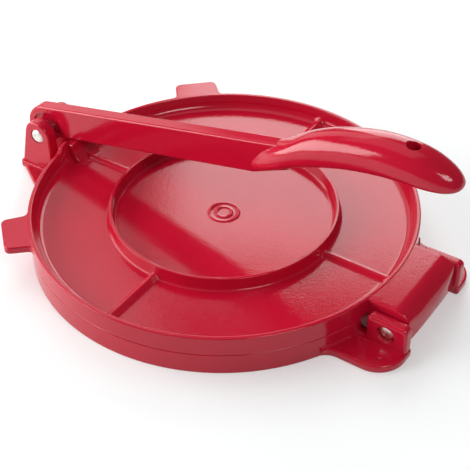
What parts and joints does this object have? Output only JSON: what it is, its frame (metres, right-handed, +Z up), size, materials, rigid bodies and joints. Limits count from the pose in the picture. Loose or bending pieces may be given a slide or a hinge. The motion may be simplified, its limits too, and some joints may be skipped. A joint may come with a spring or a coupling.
{
  "type": "tortilla press",
  "caption": "Round cast tortilla press: a hinged lid plate over a base plate, squeezed by an arched lever pinned opposite the hinge.",
  "frame": {"origin": "middle of the base plate's underside, on the surface that the press stands on", "axes": "+X from the middle towards the plate hinge, so the lever's pivot is at -X; +Y along the hinge pin; +Z up"},
  "size_m": [0.2715, 0.212, 0.1035],
  "materials": {
    "base_enamel": "glossy red coating over a fine cast skin",
    "lid_enamel": "glossy red coating over a fine cast skin",
    "lever_enamel": "glossy red coating over a fine cast skin",
    "pin_steel": "plain drawn steel, cut ends slightly rounded"
  },
  "bodies": {
    "base": {"base_plate": "base_enamel", "lever_pin": "pin_steel", "hinge_pin": "pin_steel"},
    "lid": {"lid_plate": "lid_enamel"},
    "lever": {"lever": "lever_enamel"}
  },
  "joints": [
    {"name": "lever_pivot", "type": "hinge", "parent": "base", "child": "lever", "pos_m": [-0.1218, 0, 0.027], "axis": [0, -1, 0], "range_deg": [0, 160]},
    {"name": "lid_hinge", "type": "hinge", "parent": "base", "child": "lid", "pos_m": [0.1172, 0, 0.0122], "axis": [0, 1, 0], "range_deg": [0, 110]}
  ],
  "couplings": [
    {"joint": "lid_hinge", "follows": "lever_pivot", "ratio": 0.06}
  ]
}
